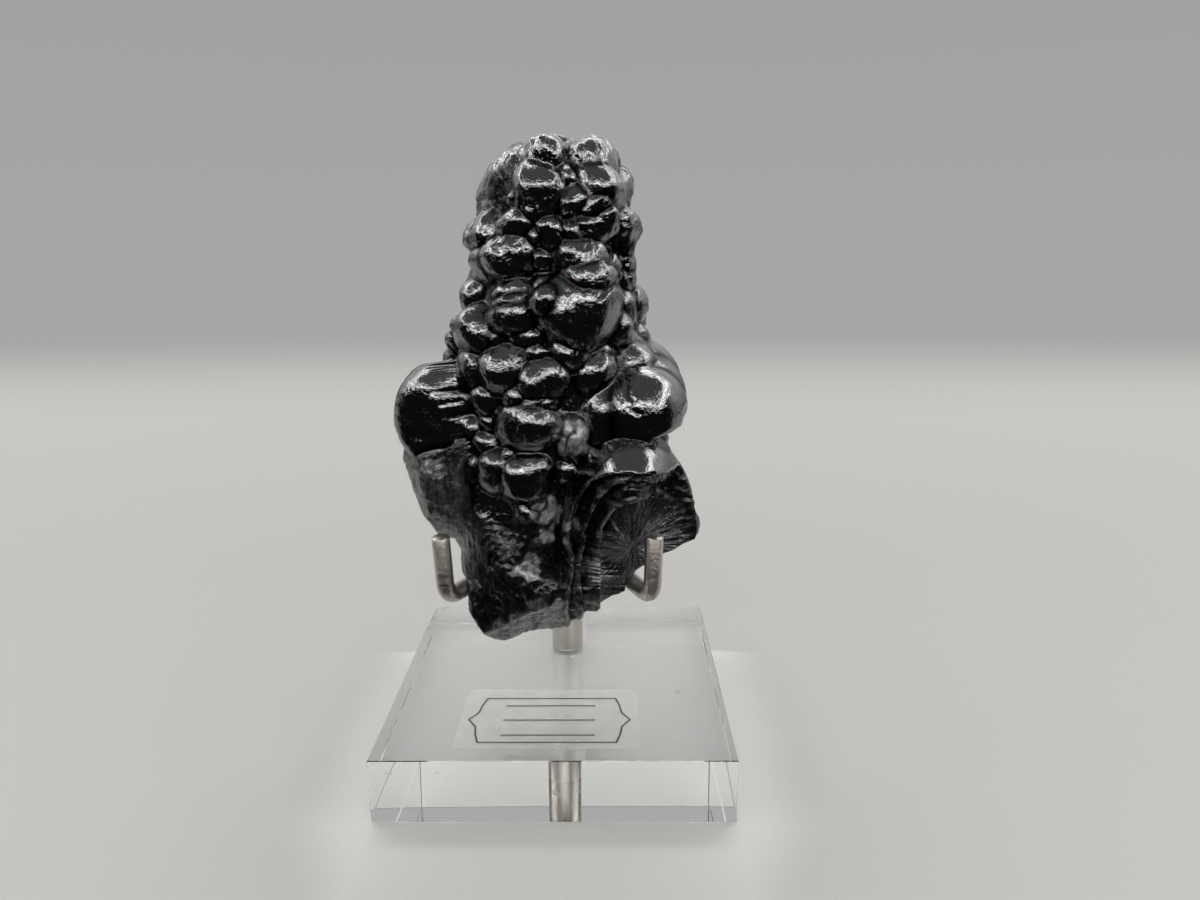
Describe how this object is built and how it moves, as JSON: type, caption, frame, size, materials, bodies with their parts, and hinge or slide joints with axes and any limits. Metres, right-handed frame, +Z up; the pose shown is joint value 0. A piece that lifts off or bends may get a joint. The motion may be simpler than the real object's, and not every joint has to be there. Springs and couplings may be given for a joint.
{
  "type": "mineral specimen on display stand",
  "caption": "Tall glossy black botryoidal hematite covered in rounded lumps, held upright by bent metal rods on a post in a square clear block with a small label.",
  "frame": {"origin": "middle of the base block's underside, on the surface it stands on", "axes": "+X to the viewer's right, +Y away from the viewer, +Z up; the stone's lumpy face looks along -Y"},
  "size_m": [0.0636, 0.0636, 0.1157],
  "materials": {
    "hematite": "gloss, polished-looking lumps with satin broken faces",
    "clear_acrylic": "gloss, clear cast acrylic with polished faces",
    "steel": "satin, lightly scratched",
    "label_film": "satin clear film with a plain printed frame"
  },
  "bodies": {
    "root": {"hematite": "hematite", "base_block": "clear_acrylic", "post": "steel", "cradle_arms": "steel", "back_arm": "steel", "label": "label_film"}
  },
  "joints": []
}
